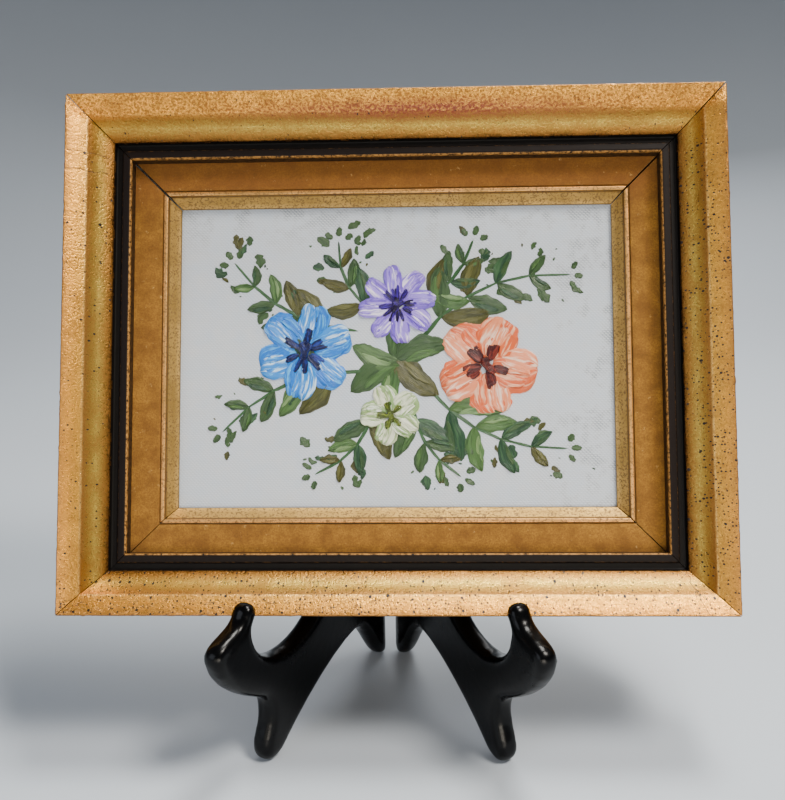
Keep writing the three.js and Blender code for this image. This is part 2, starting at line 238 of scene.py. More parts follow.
@dataclass(frozen=True)
class PicturePlane:
    """Where the leaning picture stands, and its axes."""

    lean: float = math.radians(20)
    height: float = 189.4
    depth: float = 35.5
    back_bevel: float = 0.8

    def middle(self) -> Vector:
        """The middle of the frame's front plane, worked out from the rails' boxes, in metres."""
        boxes = [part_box(f"rail_{side.name.lower()}") for side in Side]
        low = [min(box[0][i] for box in boxes) for i in range(3)]
        high = [max(box[1][i] for box in boxes) for i in range(3)]
        half = self.height / 2 * MM
        depth, bevel = self.depth * MM, self.back_bevel * MM
        return Vector((
            (low[0] + high[0]) / 2,
            high[1] - (half - bevel) * math.sin(self.lean) - depth * math.cos(self.lean),
            low[2] + half * math.cos(self.lean) + (depth - bevel) * math.sin(self.lean),
        ))

    def turn(self) -> Euler:
        """The rotation that stands the picture up at its lean."""
        return Euler((math.pi / 2 - self.lean, 0, 0))

    def matrix(self) -> Matrix:
        """From millimetres on the picture to metres in the model."""
        return Matrix.Translation(self.middle()) @ self.turn().to_matrix().to_4x4() @ Matrix.Scale(MM, 4)

    def coordinates(self, tree: bpy.types.NodeTree) -> Node:
        """A node that gives a pattern the picture's own axes in millimetres."""
        place = add_node(tree, "TexCoord")
        return add_node(
            tree, "Mapping",
            {"Vector": (place, "Object"), "Location": self.middle(), "Rotation": self.turn(), "Scale": (MM,) * 3},
            vector_type="TEXTURE",
        )


PLANE = PicturePlane()
FRAME_WIDTH = 240.2
FRAME_HEIGHT = PLANE.height


# Finishes


class Coat:
    """A new procedural material, with short methods for the nodes that the finishes share."""

    def __init__(self, name: str) -> None:
        """Makes the material with its shader, still without a finish."""
        self.material = bpy.data.materials.new(name)
        self.material.use_nodes = True
        self.tree = self.material.node_tree
        self.tree.nodes.clear()
        self.shader = add_node(self.tree, "BsdfPrincipled")
        add_node(self.tree, "OutputMaterial", {"Surface": self.shader})

    @cached_property
    def place(self) -> Node:
        """The picture's own axes in millimetres."""
        return PLANE.coordinates(self.tree)

    @cached_property
    def axes(self) -> Node:
        """The same axes as single numbers, under X, Y and Z."""
        return add_node(self.tree, "SeparateXYZ", {"Vector": self.place})

    @cached_property
    def inset(self) -> Node:
        """How far a point lies in from the frame's outer edge, in millimetres."""
        insets = []
        for axis, size in (("X", FRAME_WIDTH), ("Y", FRAME_HEIGHT)):
            insets.append(self.math("SUBTRACT", size / 2, self.math("ABSOLUTE", (self.axes, axis))))
        return self.math("MINIMUM", *insets)

    def math(self, operation: str, *values: object) -> Node:
        """Works out one number from up to three."""
        return add_node(self.tree, "Math", dict(enumerate(values)), operation=operation)

    def fade(
        self, value: object, low: float = 0.0, high: float = 1.0, start: float = 0.0, end: object = 1.0
    ) -> Node:
        """Runs from start, where the value is low, to end, where it is high."""
        return add_node(self.tree, "MapRange", {
            "Value": value, "From Min": low, "From Max": high, "To Min": start, "To Max": end})

    def near(self, value: object, middle: float, full: float, gone: float, most: float = 1.0) -> Node:
        """Masks what lies close to a middle value: most within full of it, and nothing beyond gone."""
        off = self.math("ABSOLUTE", self.math("SUBTRACT", value, middle))
        return self.fade(off, full, gone, most, 0.0)

    def mix(self, amount: object, *colours: object) -> Node:
        """Blends two colours, each a hex code or a node's."""
        first, second = (linear(each) if isinstance(each, str) else each for each in colours)
        return add_node(self.tree, "Mix", {"Factor": amount, 6: first, 7: second}, data_type="RGBA")

    def ramp(self, value: object, stops: list[tuple[float, str]]) -> Node:
        """Turns a number into a colour."""
        return add_node(self.tree, "ValToRGB", {0: value}, stops=stops)

    def clouds(
        self, scale: float, detail: float, rough: float = 0.5,
        stretch: tuple[float, float, float] | None = None, place: object = None,
    ) -> Node:
        """Cloudy noise with a scale for each millimetre, on stretched axes where they are given."""
        place = place or self.place
        if stretch:
            place = add_node(self.tree, "Mapping", {"Vector": place, "Scale": stretch})
        return add_node(
            self.tree, "TexNoise", {"Vector": place, "Scale": scale, "Detail": detail, "Roughness": rough})

    def bump(self, height: Node, strength: object, metres: float, **more: object) -> Node:
        """Raises a pattern by at most a distance in metres."""
        return add_node(self.tree, "Bump", {"Height": height, "Strength": strength, "Distance": metres}, **more)

    def finish(self, **inputs: object) -> Material:
        """Feeds the shader's inputs, named with _ for each space, and gives the material."""
        feed(self.tree, self.shader, {name.replace("_", " "): value for name, value in inputs.items()})
        return self.material


@dataclass(frozen=True)
class AgedGilding:
    """Metal leaf burnished over red clay bole on gesso.

    It gives the eye a warm, finely wrinkled metal, light gold where it is full, red-brown
    where rubbing has bared the clay, and fly-specked with dark shellac. The top rail's outer
    band is painted lighter as a painted highlight, and the wrinkles are painted darker, partly
    thin leaf and partly painted shade in the crackle.
    """

    span: float = 20.0
    wrinkle: float = 0.85
    patch: float = 9.0
    specks: tuple[tuple[float, float], ...] = ((1.35, 0.14), (4.4, 0.065))
    # The lighter gold of the top rail's outer band: a painted highlight.
    painted_top_highlight: str = "#FFB648"
    cloud: str = "#A87634"
    # The wrinkles' darker leaf: partly thin leaf, partly painted shade in their creases.
    crease: str = "#9A6228"
    bole: str = "#8A3C1C"
    shellac: str = "#1C110A"
    grime: str = "#4A2E10"
    side_paint: str = "#6E4A18"
    ridge: float = 6.4
    rub_middle: float = 12.0
    crack_width: float = 0.11
    crack_lines: tuple[tuple[str, str, float, float, float], ...] = (
        ("Y", "X", 74.0, 0.0, -106.0), ("Y", "X", 76.5, 0.08, -108.0), ("X", "Y", 82.0, -0.28, -80.5))

    def material(self) -> Material:
        """Builds the material for the rails' gilt bands."""
        coat = Coat("aged_gilding")
        bands = coat.ramp(coat.math("DIVIDE", coat.inset, self.span), [
            (0.0, "#5C3410"), (0.03, "#C88A3C"), (0.14, "#DC9A38"), (0.31, "#E0A43E"),
            (0.335, "#F0BC66"), (0.36, "#A8783A"), (0.42, "#B48C3A"), (0.52, "#D9B752"),
            (0.62, "#A87C34"), (0.69, "#5C3C14"),
        ])
        # Painted highlight: the top rail's outer band is mixed towards a lighter gold, where the light falls on
        # it.
        high = coat.fade((coat.axes, "Y"), 86.5, 88.5)
        cloudy = coat.fade(coat.clouds(1 / self.patch, 3.0, 0.6), 0.42, 0.7, 0.0, 0.6)
        leaf = coat.mix(cloudy, coat.mix(high, bands, self.painted_top_highlight), self.cloud)
        wrinkles = coat.clouds(1 / self.wrinkle, 4.0, 0.62)
        # Darker leaf in the wrinkles, twice as strong on the top rail: partly thin leaf, partly painted shade in
        # the crackle.
        creased = coat.math(
            "MULTIPLY", coat.fade(wrinkles, 0.46, 0.58, 0.0, 0.85), coat.fade(high, 0.0, 1.0, 0.5, 1.0))
        rubbed = self.rubbed_ridge(coat, wrinkles)
        scuffs = coat.math("MAXIMUM", self.scuffs(coat), self.cracks(coat))
        flecks = self.flecks(coat)
        side = coat.fade(coat.inset, 0.02, 0.5, 1.0, 0.0)
        bare = rubbed
        for mask in (scuffs, flecks, side):
            bare = coat.math("MAXIMUM", bare, mask)
        for mask, tint in (
            (creased, self.crease), (rubbed, self.bole), (scuffs, self.grime), (flecks, self.shellac),
            (side, self.side_paint),
        ):
            leaf = coat.mix(mask, leaf, tint)
        ripple = coat.math(
            "MULTIPLY", coat.fade(high, 0.0, 1.0, 0.42, 1.0), coat.math("SUBTRACT", 1.0, side))
        pits = coat.bump(bare, 0.4, 0.00012, invert=True)
        feed(coat.tree, pits, {"Normal": coat.bump(wrinkles, ripple, 0.0006)})
        return coat.finish(
            Base_Color=leaf, Metallic=coat.fade(bare, 0.0, 1.0, 0.85, 0.15),
            Roughness=coat.fade(wrinkles, 0.3, 0.7, 0.22, 0.42), Normal=pits)

    def rubbed_ridge(self, coat: Coat, wrinkles: Node) -> Node:
        """Masks where hands have rubbed the top rail's ridge down to the clay."""
        mask = coat.fade((coat.axes, "Y"), 72.0, 80.0)
        for part in (
            coat.near((coat.axes, "X"), self.rub_middle, 15.0, 90.0), coat.near(coat.inset, self.ridge, 0.8, 4.2),
            coat.fade(wrinkles, 0.34, 0.54, 0.35, 1.0),
        ):
            mask = coat.math("MULTIPLY", mask, part)
        return mask

    def scuffs(self, coat: Coat) -> Node:
        """Masks the dark scratches along the bottom rail's outer band and on every outer edge."""
        streaks = coat.clouds(1.0, 6.0, 0.8, stretch=(0.34, 0.9, 0.9))
        left = coat.fade((coat.axes, "X"), -60.0, 20.0, 1.0, 0.35)
        low = coat.fade((coat.axes, "Y"), -86.5, -90.0, 0.0, left)
        edge = coat.fade(coat.inset, 0.3, 1.8, 0.75, 0.0)
        return coat.math("MULTIPLY", coat.math("MAXIMUM", low, edge), coat.fade(streaks, 0.54, 0.59))

    def cracks(self, coat: Coat) -> Node:
        """Masks the hairline cracks across the left and bottom rails."""
        wander = coat.fade(coat.clouds(0.25, 3.0), 0.0, 1.0, -1.6, 1.6)
        masks = []
        for along, across, at, slant, reach in self.crack_lines:
            bent = coat.math("MULTIPLY_ADD", (coat.axes, across), slant, wander)
            off = coat.math("SUBTRACT", (coat.axes, along), bent)
            close = coat.math("COMPARE", off, at, self.crack_width)
            there = coat.math("LESS_THAN", (coat.axes, across), reach)
            masks.append(coat.math("MULTIPLY", close, there))
        return coat.math("MAXIMUM", coat.math("MAXIMUM", masks[0], masks[1]), masks[2])

    def flecks(self, coat: Coat) -> Node:
        """Masks the flicked dark specks, thick on the right and bottom rails and sparse elsewhere."""
        right = coat.fade((coat.axes, "X"), 103.0, 114.0, 0.0, 0.45)
        low = coat.fade((coat.axes, "Y"), -78.0, -90.0, 0.0, 0.42)
        drift = coat.fade(coat.clouds(0.13, 2.0), 0.35, 0.65, 0.5, 1.7)
        density = coat.math("ADD", coat.math("MAXIMUM", right, low), 0.1)
        density = coat.math("MULTIPLY", density, drift)
        top = coat.fade((coat.axes, "Y"), 74.0, 76.0, 1.0, 0.6)
        masks = []
        for cell, radius in self.specks:
            cells = add_node(
                coat.tree, "TexVoronoi", {"Vector": coat.place, "Scale": 1 / cell}, voronoi_dimensions="2D")
            tint = add_node(coat.tree, "SeparateColor", {"Color": (cells, "Color")})
            size = coat.math("MULTIPLY", coat.fade((tint, "Green"), 0.0, 1.0, radius * 0.5, radius * 1.9), top)
            inside = coat.math("LESS_THAN", (cells, "Distance"), size)
            masks.append(coat.math("MULTIPLY", inside, coat.math("LESS_THAN", (tint, "Red"), density)))
        return coat.math("MAXIMUM", *masks)


@dataclass(frozen=True)
class WornEbonising:
    """Black-brown stain brushed on the hollow and step, rubbed to tan wood on its edges.

    It gives the eye a dull near-black with thin broken lines of wood along both edges; the
    line down the step's wall fades to near-black lower down, as painted shade.
    """

    paint: str = "#0A0705"
    dust: str = "#140D0A"
    wood: str = "#A8783C"
    edges: tuple[tuple[float, float, float, float], ...] = ((17.2, 0.18, 0.5, 0.3), (20.2, 0.45, 0.38, 1.0))

    def material(self) -> Material:
        """Builds the material for the black hollow and the step beside the velvet; its black also serves as
        painted shade on the sawn mitres.
        """
        coat = Coat("worn_ebonising")
        rubs = coat.clouds(0.7, 4.0, 0.7)
        ground = coat.mix(coat.fade(coat.inset, 15.5, 18.0), self.paint, self.dust)
        lines = []
        for edge, width, low, most in self.edges:
            line = coat.near(coat.inset, edge, width * 0.4, width, most)
            lines.append(coat.math("MULTIPLY", line, coat.fade(rubs, low, low + 0.2)))
        # Painted shade: the wood lines fade to a tenth lower down the step's wall, towards the velvet.
        painted_wall_shade = coat.fade((coat.axes, "Z"), -16.2, -15.3, 0.1, 1.0)
        worn = coat.math("MULTIPLY", coat.math("MAXIMUM", *lines), painted_wall_shade)
        return coat.finish(
            Base_Color=coat.mix(worn, ground, self.wood), Roughness=0.55, Specular_IOR_Level=0.14,
            Normal=coat.bump(rubs, 0.3, 0.0002))


@dataclass(frozen=True)
class LinerGilding:
    """Thin bronze-gold leaf on the liner's bead and slope, rubbed and toned with umber.

    It gives the eye a paler, duller gold than the rails', with dark spots and a dark line
    on each side of the bead.
    """

    start: float = 30.0
    span: float = 7.0
    spot: str = "#4C2F14"
    umber: str = "#8A6A30"

    def material(self) -> Material:
        """Builds the material for the liner's bead and slope."""
        coat = Coat("liner_gilding")
        bands = coat.ramp(coat.fade(coat.inset, self.start, self.start + self.span), [
            (0.0, "#5A3A16"), (0.13, "#6E4A1E"), (0.18, "#DC9C54"), (0.32, "#E0A860"),
            (0.39, "#6A4A22"), (0.46, "#C09A54"), (0.70, "#BE9850"), (0.90, "#E0B668"),
            (0.94, "#5A4220"),
        ])
        grain = coat.clouds(1.15, 4.0, 0.68)
        spots = coat.fade(grain, 0.5, 0.6, 0.0, 0.8)
        tone = coat.fade(coat.clouds(0.09, 2.0), 0.4, 0.65, 0.0, 0.4)
        return coat.finish(
            Base_Color=coat.mix(tone, coat.mix(spots, bands, self.spot), self.umber),
            Metallic=coat.fade(spots, 0.0, 1.0, 0.85, 0.2), Roughness=coat.fade(grain, 0.0, 1.0, 0.35, 0.6),
            Normal=coat.bump(grain, 0.5, 0.0002))


@dataclass(frozen=True)
class CottonVelvet:
    """Short cotton velvet glued flat: a soft amber nap with lint, darker on the top strip, where the nap leans
    away and painted shade falls under the top rail.
    """

    gold: str = "#734A0B"
    dark: str = "#5F3909"
    # The top strip's darker amber: the nap turned away, with painted shade under the top rail.
    nap_and_painted_top_shade: str = "#74400A"
    light: str = "#98691C"
    lint: str = "#D2A860"
    sheen: str = "#E0B060"

    def material(self) -> Material:
        """Builds the velvet's material."""
        coat = Coat("cotton_velvet")
        nap = coat.clouds(1.5, 4.0, 0.8)
        colour = coat.mix(coat.fade(coat.clouds(0.16, 3.0, 0.6), 0.35, 0.68), self.gold, self.light)
        for mask, tint in (
            # Top strip darker: the nap leans away there, and painted shade falls from the top rail.
            (coat.fade((coat.axes, "Y"), 55.0, 66.0, 0.0, 0.55), self.nap_and_painted_top_shade),
            (coat.fade(nap, 0.4, 0.62, 0.0, 0.7), self.dark),
            (coat.fade(coat.clouds(0.33, 5.0, 0.75), 0.63, 0.72, 0.0, 0.6), self.lint),
        ):
            colour = coat.mix(mask, colour, tint)
        return coat.finish(
            Base_Color=colour, Roughness=0.95, Sheen_Weight=0.32, Sheen_Roughness=0.4,
            Sheen_Tint=linear(self.sheen), Normal=coat.bump(nap, 0.5, 0.0003))


@dataclass(frozen=True)
class BareWood:
    """Planed obeche left bare on the back: pale straw, with fine open grain along the length."""

    upright: bool
    pale: str = "#B8935E"
    dark: str = "#8A6436"
    straw: str = "#C4A070"

    def material(self) -> Material:
        """Builds the wood's material with its grain along the rail."""
        coat = Coat("bare_wood_upright" if self.upright else "bare_wood_level")
        stretch = (0.9, 0.05, 0.9) if self.upright else (0.05, 0.9, 0.9)
        grain = coat.clouds(1.0, 6.0, 0.65, stretch=stretch)
        return coat.finish(
            Base_Color=coat.ramp(grain, [(0.3, self.dark), (0.5, self.pale), (0.7, self.straw)]),
            Roughness=0.72, Normal=coat.bump(grain, 0.3, 0.0002))


@dataclass(frozen=True)
class PrimedCanvas:
    """Fine cotton canvas under grey-white acrylic primer: matt, with its weave showing.

    The real thread, about 0.4 mm, is too fine to show, so it is drawn a little coarser.
    """

    thread: float = 0.7
    ground: str = "#BFC8D2"
    pit: str = "#8E969E"
    warm: str = "#CFCDCB"

    def material(self) -> Material:
        """Builds the canvas's material."""
        coat = Coat("primed_canvas")
        waves = [add_node(
            coat.tree, "TexWave",
            {"Vector": coat.place, "Scale": 1 / (20 * self.thread) * math.pi * 2, "Distortion": 0.6,
             "Detail": 1.0, "Detail Scale": 0.5},
            wave_type="BANDS", bands_direction=direction,
        ) for direction in ("Y", "DIAGONAL")]
        weave = coat.math("MULTIPLY", *waves)
        slubs = coat.clouds(0.12, 5.0, 0.7)
        base = coat.mix(coat.fade(slubs, 0.35, 0.7, 0.0, 0.6), self.ground, self.warm)
        # The weave's pits show darker, in patches, towards the top and right edges.
        high, right = coat.fade((coat.axes, "Y"), 38.0, 56.0), coat.fade((coat.axes, "X"), 50.0, 70.0)
        worn = coat.math("MULTIPLY", coat.math("MAXIMUM", high, right), coat.fade(slubs, 0.5, 0.62))
        pits = coat.math(
            "MULTIPLY", coat.fade(weave, 0.05, 0.5, 0.5, 0.0), coat.fade(worn, 0.0, 1.0, 0.6, 1.9))
        return coat.finish(
            Base_Color=coat.mix(pits, base, self.pit), Roughness=0.78, Normal=coat.bump(weave, 0.45, 0.00018))


@dataclass(frozen=True)
class GreyCard:
    """The board's back and edges: grey-brown pulp card, matt, with darker fibres."""

    pale: str = "#9A9184"
    dark: str = "#6C6458"

    def material(self) -> Material:
        """Builds the card's material."""
        coat = Coat("grey_card")
        fibres = coat.clouds(1.4, 5.0, 0.75)
        return coat.finish(
            Base_Color=coat.ramp(fibres, [(0.35, self.dark), (0.6, self.pale)]), Roughness=0.9,
            Normal=coat.bump(fibres, 0.3, 0.0002))


@dataclass(frozen=True)
class OilPaint:
    """Oil colour laid with a knife: satin, streaked where two colours were dragged together."""

    ior: float = 1.48

    def material(self) -> Material:
        """Builds the paint's material from each stroke's own colours and direction."""
        coat = Coat("oil_paint")
        along = add_node(coat.tree, "UVMap", uv_map="knife")
        streaks = coat.clouds(1.0, 5.0, 0.6, stretch=(0.09, 0.7, 1.0), place=along)
        bristle = coat.clouds(1.0, 3.0, stretch=(0.35, 4.5, 1.0), place=along)
        colours = [
            (add_node(coat.tree, "Attribute", attribute_name=name, attribute_type="GEOMETRY"), "Color")
            for name in ("pigment", "streak")]
        return coat.finish(
            Base_Color=coat.mix(coat.fade(streaks, 0.5, 0.6), *colours),
            Roughness=coat.fade(streaks, 0.0, 1.0, 0.2, 0.42), IOR=self.ior,
            Normal=coat.bump(bristle, 0.9, 0.0005))


@dataclass(frozen=True)
class GlossPolystyrene:
    """Injection-moulded black polystyrene: deep gloss with faint orange peel and handling haze."""

    black: str = "#010101"
    haze: str = "#040405"
    ior: float = 1.55

    def material(self) -> Material:
        """Builds the plastic's material."""
        coat = Coat("gloss_polystyrene")
        smears = coat.clouds(0.05, 5.0, 0.7)
        return coat.finish(
            Base_Color=coat.mix(smears, self.black, self.haze),
            Roughness=coat.fade(smears, 0.35, 0.7, 0.16, 0.3), IOR=self.ior, Specular_IOR_Level=0.13,
            Normal=coat.bump(coat.clouds(0.35, 2.0), 0.2, 0.0003))


# Mouldings


def rounded(
    corners: list[tuple[float, float, float]], fine: float, coarse: float = 6.0, back: float = -33.0
) -> Outline:
    """Turns corner points into a closed outline with eased corners and divided runs.

    Args:
        corners: Each corner and how far back its easing starts.
        fine: The longest run on the front, where relief follows.
        coarse: The longest run on upright sides and on the back.
        back: The height that the back lies below.

    Returns:
        The outline's points in order.
    """
    eased: Outline = []
    count = len(corners)
    for i, (x, y, cut) in enumerate(corners):
        here = Vector((x, y))
        if cut <= 0:
            eased.append((x, y))
            continue
        before = Vector(corners[i - 1][:2]) - here
        after = Vector(corners[(i + 1) % count][:2]) - here
        start, end = here + before.normalized() * cut, here + after.normalized() * cut
        for step in (0.0, 0.33, 0.67, 1.0):
            point = start.lerp(here, step).lerp(here.lerp(end, step), step)
            eased.append((point.x, point.y))
    points: Outline = []
    for i, (x, y) in enumerate(eased):
        nx, ny = eased[(i + 1) % len(eased)]
        run = math.hypot(nx - x, ny - y)
        pitch = coarse if abs(nx - x) < 0.01 or ny < back and y < back else fine
        parts = max(1, math.ceil(run / pitch))
        points += [(x + (nx - x) * k / parts, y + (ny - y) * k / parts) for k in range(parts)]
    return points


@dataclass(frozen=True)
class Moulding:
    """A length of moulding whose sawn mitres have opened on the face.

    Each outline point is how far it lies in from the outer side, and its height.
    """

    prefix: str
    outline: Outline
    mitres: dict[Corner, float]
    pitch: float
    front: float
    back: float

    def length(self, side: Side) -> Object:
        """Runs the outline along one side of the frame and saws its ends.

        Args:
            side: Which side it is.

        Returns:
            The moulding in millimetres on the picture's axes.
        """
        run = FRAME_HEIGHT if side.upright else FRAME_WIDTH
        across = FRAME_WIDTH if side.upright else FRAME_HEIGHT
        bpy.ops.object.select_all(action="DESELECT")
        bpy.ops.mesh.primitive_circle_add(vertices=len(self.outline), fill_type="NOTHING")
        obj = bpy.context.object
        obj.name = f"{self.prefix}_{side.name.lower()}_moulding"
        for vertex, (inset, height) in zip(obj.data.vertices, self.outline):
            vertex.co = (-run / 2, inset - across / 2, height)
        steps = round(run / self.pitch)
        apply_modifier(
            obj, "SCREW", axis="X", angle=0.0, screw_offset=run, steps=steps, render_steps=steps,
            use_normal_calculate=False,
        )
        with editing(obj):
            for corner, way in ((side.value, -1), ((side.value + 1) % len(Side), 1)):
                opening = self.mitres[Corner(corner)] / math.sqrt(2) / (self.front - self.back)
                bpy.ops.mesh.select_all(action="SELECT")
                bpy.ops.mesh.bisect(
                    plane_co=(way * (run / 2 - HAIRLINE), -across / 2, self.back),
                    plane_no=(way, 1, opening), use_fill=True, clear_outer=True,
                )
            bpy.ops.mesh.select_all(action="SELECT")
            bpy.ops.mesh.normals_make_consistent(inside=False)
        obj.data.transform(Matrix.Rotation(side.value * math.pi / 2, 4, "Z"))
        return obj

    def dress(
        self, side: Side, weights: dict[str, Weigh], relief: list[tuple[str, float, float]],
        materials: list[Material], choose: Callable[[Vector, int], int],
    ) -> Object:
        """Models one side, roughens it and gives it its materials.

        Args:
            side: Which side it is.
            weights: Each vertex group's weight at a point.
            relief: Each pattern's vertex group, grain and height.
            materials: Its materials.
            choose: Picks a material for a face.

        Returns:
            The moulding in millimetres on the picture's axes.
        """
        obj = self.length(side)
        for group, weigh in weights.items():
            set_group(obj, group, weigh)
        for group, grain, height in relief:
            roughen(obj, grain, height, group)
        give_materials(obj, materials, choose)
        return obj


def stand_up(obj: Object, name: str, nodes: list[str], smooth_angle: float = 40.0) -> None:
    """Moves a piece from the picture's axes to its place in the model, and finishes it."""
    obj.data.transform(PLANE.matrix())
    finish_piece(obj, name, nodes, smooth_angle)


def local_inset(point: Vector) -> float:
    """How far a point on the picture's axes lies in from the frame's outer edge."""
    return min(FRAME_WIDTH / 2 - abs(point.x), FRAME_HEIGHT / 2 - abs(point.y))


def give_materials(
    obj: Object, materials: list[Material], choose: Callable[[Vector, int], int]
) -> None:
    """Gives each face a material by its middle and how many corners it has."""
    for material in materials:
        obj.data.materials.append(material)
    for polygon in obj.data.polygons:
        polygon.material_index = choose(polygon.center, len(polygon.vertices))


@dataclass
class GiltFrame:
    """The four rails: gilt outer and inner bands, a black hollow and a worn step."""

    depth: float = PLANE.depth
    face: float = 20.3
    ridge: tuple[float, float] = (6.8, -4.8)
    gold: tuple[float, float] = (14.2, -13.3)
    crown: float = 0.22
    sag: float = 0.5
    channel_drop: float = 15.6
    step: tuple[float, float] = (17.1, -14.5)
    step_rise: float = 0.4
    lap: float = 5.3
    under: float = 20.0
    rabbet_inset: float = 14.0
    rabbet_drop: float = 16.0
    front_inset: float = 20.0
    front_drop: float = 17.0
    plain_back: float = 4.0
    pitch: float = 1.1
    fine: float = 0.95

    def outline(self) -> Outline:
        """The rail's section."""
        (rx, ry), (gx, gy), (sx, sy) = self.ridge, self.gold, self.step
        inner = self.face - self.lap
        corners = [
            (PLANE.back_bevel, -self.depth, 0.0), (0, -self.depth + PLANE.back_bevel, 0.0),
            (0, 0, 1.0),
            (rx / 2 + self.crown * 0.8, ry / 2 + self.crown * 1.2, 1.6),
            (rx, ry, 0.4),
            ((rx + gx) / 2 - self.sag * 0.7, (ry + gy) / 2 - self.sag * 0.6, 2.2),
            (gx, gy, 0.35),
            (gx + 0.3, -self.channel_drop, 0.5),
            (sx - 0.3, -self.channel_drop, 0.35), (sx, sy, 0.3),
            (self.face - 0.7, sy + self.step_rise, 0.4), (self.face, sy, 0.3),
            (self.face, -self.under, 0.0), (inner, -self.under, 0.0), (inner, -self.depth, 0.0),
        ]
        return rounded(corners, self.fine)

    def shows(self, point: Vector) -> bool:
        """Whether a point is on the bands, the hollow or the step."""
        return point.z > -self.front_drop and local_inset(point) < self.front_inset

    def chip(self, point: Vector) -> float:
        """How much the outer edge and ridge are knocked at a point, from 0 to 1."""
        inset = local_inset(point)
        if point.z < -self.depth + self.plain_back:
            return 0.0
        edge = 1.0 - smooth_step(inset, 0.3, 1.6)
        ridge = 0.5 * (1.0 - smooth_step(abs(inset - self.ridge[0]), 0.2, 1.2))
        knocked = smooth_step(noise.noise(point * 0.16), 0.08, 0.42)
        return max(edge, ridge) * knocked

    def build(self, gilt: Material, black: Material, woods: list[Material]) -> None:
        """Models and dresses the four rails."""
        mitres = {
            Corner.BOTTOM_LEFT: 0.3, Corner.BOTTOM_RIGHT: 0.3, Corner.TOP_RIGHT: 0.45, Corner.TOP_LEFT: 0.3}
        moulding = Moulding("rail", self.outline(), mitres, self.pitch, 0.0, -self.depth)

        def choose(middle: Vector, sides: int) -> int:
            """Gilt, black or bare wood for one face; a sawn mitre gets the black as painted shade in its opened
            crack.
            """
            inset = local_inset(middle)
            # The opened mitre's sawn faces: black as painted shade in the deep crack.
            if sides > MOST_CORNERS:
                return 1
            hidden = self.rabbet_inset < inset < self.face - 0.05 and middle.z < -self.rabbet_drop
            if hidden or middle.z < -self.depth + PLANE.back_bevel * 0.6:
                return 2
            return 1 if inset > self.gold[0] + 0.08 else 0

        for side in Side:
            obj = moulding.dress(
                side, {"front": self.shows, "chips": self.chip},
                [("front", 7.0, 0.16), ("front", 1.6, 0.07), ("chips", 2.4, 0.9)],
                [gilt, black, woods[side.upright]], choose)
            name = f"rail_{side.name.lower()}"
            stand_up(obj, f"gilt_{name}", [name])


